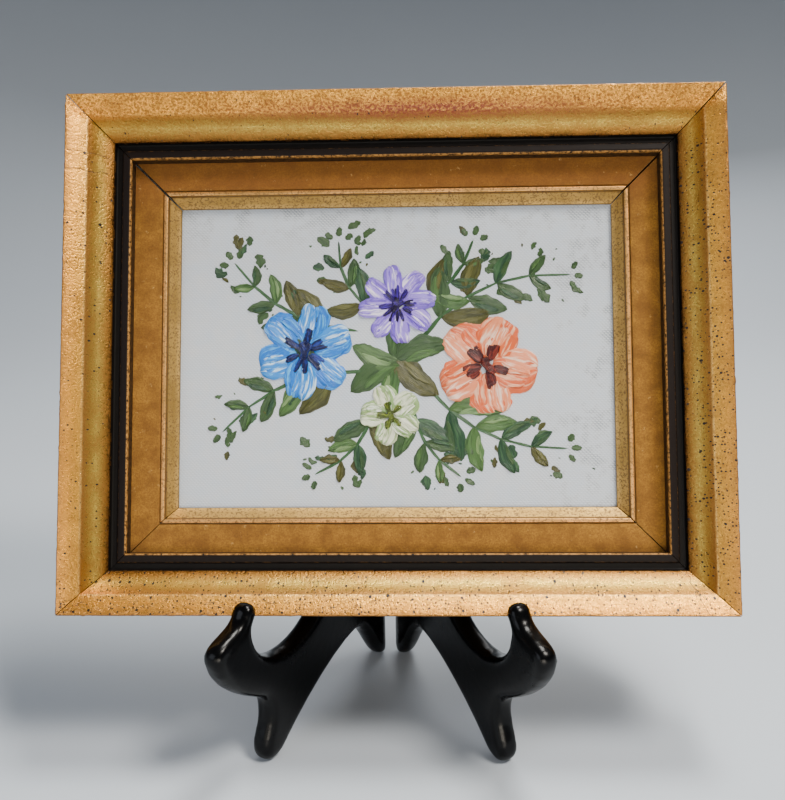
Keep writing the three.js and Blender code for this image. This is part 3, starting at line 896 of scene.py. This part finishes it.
@dataclass
class VelvetLiner:
    """The inner moulding: a velvet-covered flat, a gilt bead and a slope down to the canvas."""

    outer: float = 15.4
    face: float = 20.3
    velvet_drop: tuple[float, float] = (20.3, 21.7)
    velvet_width: float = 10.6
    velvet_thickness: float = 0.9
    bead: float = 1.9
    bead_top: float = 21.4
    bead_foot: float = 22.7
    sight_inset: float = 36.5
    sight_drop: float = 26.7
    lip_edge: float = 1.2
    cover: float = 5.3
    back: float = 32.5
    bead_inset: float = 31.0
    relief_drop: float = 27.4
    hidden_drop: float = 28.4
    nap_drop: float = 22.2

    def mitres(self) -> dict[Corner, float]:
        """How far each mitre has opened."""
        return {Corner.TOP_LEFT: 0.8, Corner.TOP_RIGHT: 0.6, Corner.BOTTOM_RIGHT: 0.4, Corner.BOTTOM_LEFT: 0.3}

    def wood_outline(self) -> Outline:
        """The wooden liner's section."""
        bed = self.velvet_thickness + GAP
        bead_outer = self.face + self.velvet_width
        rabbet = self.sight_inset - self.cover - GAP
        board_face = self.sight_drop + self.lip_edge
        corners = [
            (self.outer, -self.back, 0.0), (self.outer, -self.velvet_drop[0] - bed, 0.0),
            (self.face, -self.velvet_drop[0] - bed, 0.0), (bead_outer, -self.velvet_drop[1] - bed, 0.0),
            (bead_outer, -self.bead_top, 0.6), (bead_outer + self.bead, -self.bead_top - 0.1, 0.75),
            (bead_outer + self.bead, -self.bead_foot, 0.2),
            (self.sight_inset, -self.sight_drop, 0.3), (self.sight_inset, -board_face, 0.2),
            (rabbet, -board_face, 0.0), (rabbet, -self.back, 0.0),
        ]
        return rounded(corners, 0.7)

    def velvet_outline(self) -> Outline:
        """The velvet's section, with its turned edge beside the bead."""
        inner = self.face + self.velvet_width - GAP
        thick = self.velvet_thickness
        corners = [
            (self.outer, -self.velvet_drop[0] - thick, 0.0), (self.outer, -self.velvet_drop[0], 0.0),
            (self.face, -self.velvet_drop[0], 0.0), (inner, -self.velvet_drop[1], 0.45),
            (inner, -self.velvet_drop[1] - thick, 0.0), (self.face, -self.velvet_drop[0] - thick, 0.0),
        ]
        return rounded(corners, 0.8)

    def build(
        self, gilt: Material, velvet: Material, black: Material,
        woods: list[Material],
    ) -> None:
        """Models and dresses the four liner lengths and their velvet."""
        wood = Moulding("liner", self.wood_outline(), self.mitres(), 1.2, -self.bead_top, -self.back)
        cloth = Moulding("velvet", self.velvet_outline(), self.mitres(), 0.9, -self.bead_top, -self.back)

        def choose(middle: Vector, sides: int) -> int:
            """Gilt or bare wood for one face; a sawn mitre gets the black as painted shade in its opened crack.
            """
            shows = local_inset(middle) > self.face + self.velvet_width - 0.1 and middle.z > -self.hidden_drop
            # The opened mitre's sawn faces: black as painted shade in the deep crack.
            return 2 if sides > MOST_CORNERS else 0 if shows else 1

        for side in Side:
            name = side.name.lower()
            obj = wood.dress(
                side, {"front": lambda p: local_inset(p) > self.bead_inset and p.z > -self.relief_drop},
                [("front", 4.0, 0.1), ("front", 1.2, 0.06)], [gilt, woods[side.upright], black], choose)
            stand_up(obj, f"liner_{name}_gilt", [f"liner_{name}"])
            nap = cloth.dress(
                side, {"front": lambda p: local_inset(p) > self.face and p.z > -self.nap_drop},
                [("front", 5.0, 0.12), ("front", 1.4, 0.1)], [velvet], lambda middle, sides: 0)
            stand_up(nap, f"velvet_{name}_nap", [f"velvet_{name}"], 60)


# Painting


class Palette(Enum):
    """The paints of the picture, each as the two colours that the knife dragged together."""

    LEAF = ("#3B5430", "#2C4426")
    DEEP_LEAF = ("#22402A", "#3A5C3A")
    OLIVE = ("#4A4A20", "#343616")
    SAGE = ("#728E5A", "#48683A")
    FERN = ("#4A6A38", "#36522A")
    MOSS_GREY = ("#5A5A2C", "#3C3E1C")
    STEM = ("#355A34", "#284626")
    SKY = ("#1E86DC", "#CBE8FA")
    AZURE = ("#1672D0", "#58B4F4")
    NAVY = ("#0A103C", "#1A3690")
    CORAL = ("#D85E2E", "#F2B490")
    SALMON = ("#EC8C60", "#F8D4BC")
    MAROON = ("#3A0C10", "#7A2A1C")
    LILAC = ("#9A80E0", "#EEE6FA")
    MAUVE = ("#7A5CCC", "#B09AEA")
    VIOLET = ("#160830", "#42209A")
    CREAM = ("#DCE0C4", "#8CA468")
    CELADON = ("#8CAA6C", "#E8ECD8")
    MOSS = ("#424E1A", "#7C8C30")


@dataclass(frozen=True)
class Stroke:
    """One stroke of the knife: where it lies, its size and its turn, in millimetres and radians."""

    at: tuple[float, float]
    length: float
    width: float
    rise: float
    angle: float
    pigment: Palette
    bend: float = 0.0
    lift: float = 0.0
    crease: float = 0.0
    blunt: float = 0.5
    taper: float = 2.6
    ragged: float = 0.16


@dataclass(frozen=True)
class Spray:
    """A bowed stem with pairs of leaves that shorten towards berries at its tip."""

    start: tuple[float, float]
    end: tuple[float, float]
    bow: float
    pairs: int
    leaves: tuple[float, float]


@dataclass(frozen=True)
class Blossom:
    """An open flower: its middle, petals, reach, petal width, turn and its three paints."""

    at: tuple[float, float]
    petals: int
    reach: float
    width: float
    turn: float
    body: Palette
    light: Palette
    heart: Palette


def polar(start: Vector | tuple[float, float], away: float, angle: float) -> tuple[float, float]:
    """The point at a distance and heading from another."""
    return start[0] + away * math.cos(angle), start[1] + away * math.sin(angle)


@dataclass
class KnifePainting:
    """The canvas board and the paint laid on it: blossoms with sprays of paired leaves."""

    width: float = 177.8
    height: float = 127.0
    thickness: float = 2.2
    face: float = -28.2
    foot: float = 0.12
    leaf_slim: float = 0.42
    leaf_spread: float = 0.75
    first_leaf: float = 0.2
    collar: tuple[tuple[float, float], int, float, float, float] = ((0, -2), 6, 9, 20, 0.45)
    loose_dabs: int = 17
    dab_limit: tuple[float, float] = (76.0, 52.0)
    low_petal: float = 0.2
    seed: int = 11

    def __post_init__(self) -> None:
        """Sets up the layout and the seeded chance that varies each stroke."""
        self.chance = random.Random(self.seed)
        self.sprays = [
            Spray((-12, -6), (-66, -28), -7, 4, (19, 9)), Spray((8, 4), (66, 31), 9, 4, (19, 9)),
            Spray((-16, 10), (-62, 36), 6, 4, (17, 8)), Spray((12, -12), (64, -36), -7, 4, (19, 9)),
            Spray((-6, 16), (-22, 44), 5, 3, (14, 8)), Spray((8, 20), (30, 44), -4, 3, (14, 8)),
            Spray((-8, -18), (-30, -45), 5, 3, (15, 8)), Spray((6, -18), (24, -46), -4, 3, (15, 8)),
        ]
        self.blossoms = [
            Blossom((-35, 2), 6, 19, 12.5, 0.3, Palette.AZURE, Palette.SKY, Palette.NAVY),
            Blossom((35, -4), 5, 19.5, 16, 1.1, Palette.CORAL, Palette.SALMON, Palette.MAROON),
            Blossom((1, 20), 8, 15.5, 8, 0.1, Palette.MAUVE, Palette.LILAC, Palette.VIOLET),
            Blossom((-2, -23), 5, 12, 9, 0.6, Palette.CELADON, Palette.CREAM, Palette.MOSS),
        ]

    def vary(self, value: float, share: float = 0.15) -> float:
        """Changes a value by up to a share of itself, by seeded chance."""
        return value * (1 + self.chance.uniform(-share, share))

    def petal_strokes(self, flower: Blossom) -> list[Stroke]:
        """The petals of one blossom, each a body stroke with lighter ones pulled over it."""
        made = []
        for i in range(flower.petals):
            angle = flower.turn + i * 2 * math.pi / flower.petals
            full = 1 - i % 2 * self.low_petal
            # Each pull's paint, then its width, place, length and sideways shift as shares
            for layer, (paint, wide, out, long, aside) in enumerate((
                (flower.body, 1.0, 0.56, 0.86, 0.0), (flower.light, 0.55, 0.62, 0.74, 0.2),
                (flower.body, 0.34, 0.54, 0.6, -0.24), (flower.light, 0.2, 0.66, 0.5, -0.05),
            )):
                turn = angle + self.chance.uniform(-0.1, 0.1)
                rise, lift, blunt = (0.8, 0.5, 0.5) if layer else (1.25, 0.0, 0.38)
                made.append(Stroke(
                    polar(polar(flower.at, flower.reach * out, angle), aside * flower.width, angle + math.pi / 2),
                    self.vary(flower.reach * long, 0.06), self.vary(flower.width * wide, 0.1), rise * full,
                    turn, paint, bend=self.chance.uniform(-0.1, 0.1), lift=lift * full, blunt=blunt))
            for _ in range(3):
                swing = angle + self.chance.uniform(-0.3, 0.3)
                made.append(Stroke(
                    polar(flower.at, flower.reach * 0.3, swing), self.vary(flower.reach * 0.34, 0.3),
                    self.vary(flower.width * 0.16, 0.3), 0.45, swing, flower.heart, lift=0.75 * full))
        for _ in range(7):
            turn = self.chance.uniform(0, 2 * math.pi)
            away = self.chance.uniform(0, flower.reach * 0.12)
            made.append(Stroke(
                polar(flower.at, away, turn), self.vary(flower.reach * 0.26, 0.3),
                self.vary(flower.reach * 0.13, 0.3), 0.6, turn, flower.heart, lift=0.7))
        return made

    def stem_point(self, spray: Spray, share: float) -> tuple[Vector, float]:
        """A point on a spray's bowed stem and the stem's heading there."""
        start, end = Vector(spray.start), Vector(spray.end)
        side = (end - start).normalized()
        middle = start.lerp(end, 0.5) + Vector((-side.y, side.x)) * 2 * spray.bow
        point = start.lerp(middle, share).lerp(middle.lerp(end, share), share)
        heading = middle.lerp(end, share) - start.lerp(middle, share)
        return point, math.atan2(heading.y, heading.x)

    def leaf_strokes(self, spray: Spray) -> list[Stroke]:
        """The paired leaves of one spray, each with a paler pull of the knife."""
        made = []
        for i in range(spray.pairs):
            share = self.first_leaf + (1 - self.first_leaf) * i / spray.pairs
            point, heading = self.stem_point(spray, share)
            length = spray.leaves[0] + (spray.leaves[1] - spray.leaves[0]) * i / (spray.pairs - 1)
            for hand in (-1, 1):
                angle = heading + hand * self.leaf_spread + self.chance.uniform(-0.12, 0.12)
                made += self.leaf(polar(point, length * 0.55, angle), length, angle, hand)
        return made

    def leaf(self, at: tuple[float, float], length: float, angle: float, hand: int) -> list[Stroke]:
        """One leaf: a creased pull of the knife, and a thinner one down one half of it.

        Args:
            at: Its middle.
            length: Its length.
            angle: Which way its tip points.
            hand: Which way it bends.

        Returns:
            Its two strokes.
        """
        paint, over = self.chance.choice([
            (Palette.LEAF, Palette.FERN), (Palette.DEEP_LEAF, Palette.LEAF), (Palette.OLIVE, Palette.MOSS_GREY),
            (Palette.LEAF, Palette.DEEP_LEAF), (Palette.FERN, Palette.SAGE)])
        width = length * self.leaf_slim
        side = 0.2 * width * self.chance.choice((-1, 1))
        bend = hand * self.chance.uniform(0.0, 0.1)
        return [
            Stroke(at, self.vary(length * 1.08, 0.08), width * 1.1, 0.74, angle, paint,
                   bend=bend, crease=0.7, blunt=0.75, taper=1.75, ragged=0.26),
            Stroke(polar(at, side, angle + math.pi / 2), length * 0.72, width * 0.34, 0.3, angle, over,
                   bend=bend, lift=0.36, blunt=0.8, taper=1.8, ragged=0.3),
        ]

    def collar_strokes(self) -> list[Stroke]:
        """The broad leaves between the blossoms, round the middle of the picture."""
        middle, count, out, length, turn = self.collar
        made = []
        for i in range(count):
            angle = turn + i * 2 * math.pi / count + self.chance.uniform(-0.32, 0.32)
            away = self.vary(out, 0.25)
            made += self.leaf(polar(middle, away, angle), self.vary(length, 0.2), angle, (-1) ** i)
        return made

    def stem_strokes(self, spray: Spray) -> list[Stroke]:
        """The stem in short overlapping pulls, and the dabs at its tip and beside it."""
        made = []
        steps = spray.pairs + 1
        for i in range(steps):
            a, _ = self.stem_point(spray, i / steps)
            b, _ = self.stem_point(spray, (i + 1) / steps)
            run, mid = b - a, (a + b) / 2
            made.append(Stroke(
                tuple(mid), run.length * 1.3, self.vary(1.6 - 0.7 * i / steps, 0.2), 0.4,
                math.atan2(run.y, run.x), Palette.STEM, ragged=0.3))
        tip, heading = self.stem_point(spray, 1.0)
        for i in range(-1, 2):
            angle = heading + i * 0.9
            made.append(Stroke(
                polar(tip, 5, angle), self.vary(3.9), self.vary(2.4), 0.55, angle, Palette.LEAF,
                blunt=0.6, ragged=0.4))
        for i in range(self.loose_dabs):
            share = self.chance.uniform(0.45, 1.0)
            point, heading = self.stem_point(spray, share)
            angle = heading + self.chance.choice((-1, 1)) * self.chance.uniform(0.4, 1.3)
            out = self.chance.uniform(6.0, 14.5)
            at = polar(point, out, angle)
            if any(abs(place) > limit for place, limit in zip(at, self.dab_limit)):
                continue
            size = self.vary(4.6, 0.35) if i % 3 else self.vary(1.3, 0.3)
            made.append(Stroke(
                at, size, size * self.chance.uniform(0.42, 0.68), 0.45 if i % 3 else 0.2,
                angle + self.chance.uniform(-0.6, 0.6),
                self.chance.choice([Palette.LEAF, Palette.DEEP_LEAF, Palette.OLIVE, Palette.LEAF]),
                blunt=0.7, taper=1.9, ragged=0.6, bend=self.chance.uniform(-0.2, 0.2)))
        return made

    def dab(self, across: int, along: int) -> Object:
        """Models the pattern that every stroke is copied from: a flat closed patch two units wide."""
        bpy.ops.object.select_all(action="DESELECT")
        bpy.ops.mesh.primitive_grid_add(x_subdivisions=along, y_subdivisions=across, size=2)
        obj = bpy.context.object
        with editing(obj):
            bpy.ops.mesh.select_all(action="DESELECT")
            bpy.ops.mesh.select_mode(type="EDGE")
            bpy.ops.mesh.select_non_manifold()
            bpy.ops.mesh.extrude_edges_move(TRANSFORM_OT_translate={"value": (0, 0, -1)})
            bpy.ops.mesh.edge_face_add()
            bpy.ops.mesh.select_mode(type="VERT")
        return obj

    def height_at(self, stroke: Stroke, u: float, v: float, salt: float) -> float:
        """How thick a stroke's paint is, from 0 to 1.

        Args:
            stroke: The stroke.
            u: The place along it, from -1 where the knife landed to 1 where it left.
            v: The place across it, from -1 to 1.
            salt: A number that makes each stroke's ridges its own.

        Returns:
            The thickness as a share of the stroke's rise.
        """
        edge = (1 - abs(u) ** 10) * (1 - abs(v) ** 8)
        rim = 0.5 * abs(v) ** 5 * (1 - abs(u) ** 6)
        heap = 0.34 * math.exp(-(((u - 0.72) / 0.2) ** 2))
        drag = 0.45 * noise.noise(Vector((u * 0.9 + salt, v * 4.5, salt)))
        fold = 0.16 * noise.noise(Vector((u * 3.2, v * 1.7 + salt, -salt)))
        crease = stroke.crease * 0.5 * math.exp(-((v / 0.14) ** 2)) * (1 - u * u)
        return max(0.12, 0.46 + rim + heap + drag + fold - crease) * edge

    def lay(self, pattern: Object, strokes: list[Stroke], name: str, paint: Material) -> None:
        """Copies the pattern for each stroke, shapes each copy and joins them into one piece.

        Args:
            pattern: The flat patch.
            strokes: The strokes of this piece.
            name: The piece's name.
            paint: The paint's material.
        """
        laid = []
        for stroke in strokes:
            mesh = pattern.data.copy()
            salt = self.chance.uniform(0, 60)
            lean = self.chance.uniform(-0.12, 0.12)
            flat = [(vertex.co.x, vertex.co.y) for vertex in mesh.vertices]
            for vertex, (u, v) in zip(mesh.vertices, flat):
                edge_side = math.copysign(1, v)
                tear = noise.noise(Vector((u * 2.4 + salt, edge_side, salt)))
                tear += 0.6 * noise.noise(Vector((u * 7.0 - salt, edge_side, salt))) * smooth_step(u, -0.3, 0.9)
                ragged = 1 + stroke.ragged * tear
                slim = (1 - abs(u + lean * (1 - u * u)) ** stroke.taper) ** stroke.blunt * 0.97 + 0.03
                x = u * stroke.length / 2 * (1 + 0.05 * noise.noise(Vector((v * 2, salt, 3))))
                y = v * stroke.width / 2 * slim * ragged + stroke.bend * stroke.length * (1 - u * u)
                if vertex.co.z < -0.5:
                    z = -self.foot
                else:
                    z = stroke.lift * (1 - 0.8 * u ** 8) + stroke.rise * self.height_at(stroke, u, v, salt)
                vertex.co = (x, y, z)
            mesh.transform(
                Matrix.Translation((*stroke.at, self.face)) @ Matrix.Rotation(stroke.angle, 4, "Z"))
            self.colour(mesh, flat, stroke, salt)
            obj = bpy.data.objects.new("stroke", mesh)
            bpy.context.collection.objects.link(obj)
            laid.append(obj)
        bpy.ops.object.select_all(action="DESELECT")
        for obj in laid:
            obj.select_set(True)
        bpy.context.view_layer.objects.active = laid[0]
        bpy.ops.object.join()
        whole = laid[0]
        whole.data.materials.append(paint)
        stand_up(whole, name, ["painted_canvas_board"], 50)

    def colour(self, mesh: bpy.types.Mesh, flat: Outline, stroke: Stroke, salt: float) -> None:
        """Stores a stroke's two colours and its direction on its mesh."""
        for attribute, code in zip(("pigment", "streak"), stroke.pigment.value):
            tint = [c * (1 + 0.05 * noise.noise(Vector((salt, i, 0)))) for i, c in enumerate(linear(code))]
            layer = mesh.color_attributes.new(name=attribute, type="FLOAT_COLOR", domain="POINT")
            layer.data.foreach_set("color", (tint[:3] + [1.0]) * len(mesh.vertices))
        uv = mesh.uv_layers.new(name="knife")
        for loop in mesh.loops:
            u, v = flat[loop.vertex_index]
            uv.data[loop.index].uv = (u * stroke.length / 2 + salt * 7, v * stroke.width / 2 + salt)

    def board(self, canvas: Material, card: Material) -> None:
        """Models the canvas board: a rigid sheet with slightly rounded edges."""
        bpy.ops.object.select_all(action="DESELECT")
        bpy.ops.mesh.primitive_cube_add(size=1, location=(0, 0, 0))
        obj = bpy.context.object
        obj.scale = (self.width, self.height, self.thickness)
        obj.location = (0, 0, self.face - self.thickness / 2)
        bpy.ops.object.transform_apply()
        apply_modifier(obj, "BEVEL", width=0.5, segments=3, limit_method="ANGLE")
        with editing(obj):
            for axis, size, count in ((0, self.width, 60), (1, self.height, 44)):
                for i in range(1, count):
                    place, normal = Vector(), Vector()
                    place[axis], normal[axis] = size * (i / count - 0.5), 1.0
                    bpy.ops.mesh.select_all(action="SELECT")
                    bpy.ops.mesh.bisect(plane_co=place, plane_no=normal)
        set_group(obj, "front", lambda p: p.z > self.face - 0.1)
        roughen(obj, 22.0, 0.12, "front")
        give_materials(obj, [canvas, card], lambda middle, sides: 0 if middle.z > self.face - 0.7 else 1)
        stand_up(obj, "primed_canvas_board", ["painted_canvas_board"])

    def build(self, canvas: Material, card: Material, paint: Material) -> None:
        """Models and dresses the board and its paint."""
        self.board(canvas, card)
        petal, leaf, dab = self.dab(14, 26), self.dab(10, 20), self.dab(6, 10)
        stems = [stroke for spray in self.sprays for stroke in self.stem_strokes(spray)]
        leaves = [stroke for spray in self.sprays for stroke in self.leaf_strokes(spray)]
        leaves += self.collar_strokes()
        petals = [stroke for flower in self.blossoms for stroke in self.petal_strokes(flower)]
        self.lay(dab, stems, "paint_stems_and_dabs", paint)
        self.lay(leaf, leaves, "paint_leaves", paint)
        self.lay(petal, petals, "paint_blossoms", paint)
        for pattern in (petal, leaf, dab):
            bpy.data.objects.remove(pattern)


# Easel


@dataclass
class DisplayEasel:
    """The two moulded plates that carry the picture, with full round edges."""

    grain: float = 0.8 * MM
    passes: int = 14

    def build(self, plastic: Material) -> None:
        """Rounds and dresses each half."""
        for half in ("easel_half_left", "easel_half_right"):
            source = bpy.data.objects[half]
            obj = bpy.data.objects.new(f"{half}_copy", source.data.copy())
            bpy.context.collection.objects.link(obj)
            obj.data.materials.clear()
            with editing(obj):
                bpy.ops.mesh.remove_doubles(threshold=0.01 * MM)
            for _ in range(2):
                apply_modifier(obj, "REMESH", mode="VOXEL", voxel_size=self.grain)
                apply_modifier(obj, "SMOOTH", factor=0.5, iterations=self.passes)
            give_materials(obj, [plastic], lambda middle, sides: 0)
            finish_piece(obj, f"{half}_moulding", [half], 180)


# Studio


@dataclass(frozen=True)
class Studio:
    """The pale floor, the soft lights and the camera."""

    floor_colours: tuple[str, str] = ("#B6BEC8", "#BDC5CD")
    floor_flat: float = 0.7
    floor_reach: float = 3.0
    floor_rise: float = 1.6
    target: tuple[float, float, float] = (0.0, 0.0, 0.13)
    lens: float = 40.354
    sensor: float = 36.0
    camera_place: tuple[float, float, float] = (0.010586, -0.317176, 0.220330)
    camera_turn: tuple[float, float, float] = (73.8046, 0.9161, 1.7729)

    def floor(self) -> None:
        """Makes a floor that sweeps up all round, far from the object."""
        bpy.ops.object.select_all(action="DESELECT")
        bpy.ops.mesh.primitive_grid_add(x_subdivisions=90, y_subdivisions=90, size=2 * self.floor_reach)
        floor = bpy.context.object
        floor.name = "studio_floor"
        for vertex in floor.data.vertices:
            away = math.hypot(vertex.co.x, vertex.co.y)
            vertex.co.z = self.floor_rise * smooth_step(away, self.floor_flat, self.floor_reach * 1.2) ** 1.3
        take(floor)
        bpy.ops.object.shade_smooth()
        coat = Coat("studio_floor")
        grain = coat.clouds(2.0, 2.0, place=(add_node(coat.tree, "TexCoord"), "Object"))
        floor.data.materials.append(
            coat.finish(Base_Color=coat.mix(grain, *self.floor_colours), Roughness=0.6))

    def light(self, name: str, place: tuple[float, float, float], size: float, power: float, tint: str) -> None:
        """Hangs one soft box that faces the picture.

        Args:
            name: The light's name.
            place: Where it hangs, in metres.
            size: The side of the square box.
            power: Its power in watts.
            tint: Its colour.
        """
        lamp = bpy.data.lights.new(name, "AREA")
        lamp.size = size
        lamp.energy = power
        lamp.color = linear(tint)[:3]
        holder = bpy.data.objects.new(name, lamp)
        bpy.context.collection.objects.link(holder)
        holder.location = place
        holder.visible_camera = False
        aim = Vector(self.target) - Vector(place)
        holder.rotation_euler = aim.to_track_quat("-Z", "Y").to_euler()

    def build(self) -> None:
        """Sets the stage."""
        self.floor()
        for name, place, size, power, tint in (
            ("key_box", (0.5, -0.34, 0.98), 0.3, 13.5, "#FFF8EE"),
            ("fill_box", (-0.9, -0.7, 0.5), 0.7, 4.0, "#EAF1FF"),
            ("table_card", (0.08, -0.55, 0.01), 0.3, 2.8, "#FFF6E6"),
            ("left_card", (-0.17, -0.42, 0.07), 0.13, 0.12, "#FFF6E6"),
            ("right_card", (0.17, -0.42, 0.07), 0.14, 0.2, "#FFF6E6"),
            ("top_box", (0.22, 0.1, 1.1), 0.3, 12.0, "#FFFDF6"),
            ("back_box", (0.2, 1.1, 0.8), 0.8, 7.0, "#FFFFFF"),
        ):
            self.light(name, place, size, power, tint)
        world = bpy.data.worlds.new("studio_air")
        bpy.context.scene.world = world
        world.use_nodes = True
        sky = world.node_tree.nodes["Background"]
        sky.inputs["Color"].default_value = linear("#C9CCD2")
        sky.inputs["Strength"].default_value = 0.25
        lens = bpy.data.cameras.new("camera")
        lens.lens = self.lens
        lens.sensor_width = self.sensor
        lens.clip_start = 0.01
        camera = bpy.data.objects.new("camera", lens)
        bpy.context.collection.objects.link(camera)
        camera.location = self.camera_place
        camera.rotation_euler = [math.radians(angle) for angle in self.camera_turn]
        bpy.context.scene.camera = camera


def main() -> None:
    """Builds the studio, the frame, the liner, the painting and the easel, in that order."""
    logging.basicConfig(level=logging.INFO, format="%(name)s: %(message)s")
    Studio().build()
    woods = [BareWood(upright=False).material(), BareWood(upright=True).material()]
    black = WornEbonising().material()
    GiltFrame().build(AgedGilding().material(), black, woods)
    VelvetLiner().build(LinerGilding().material(), CottonVelvet().material(), black, woods)
    KnifePainting().build(PrimedCanvas().material(), GreyCard().material(), OilPaint().material())
    DisplayEasel().build(GlossPolystyrene().material())


if __name__ == "__main__":
    main()
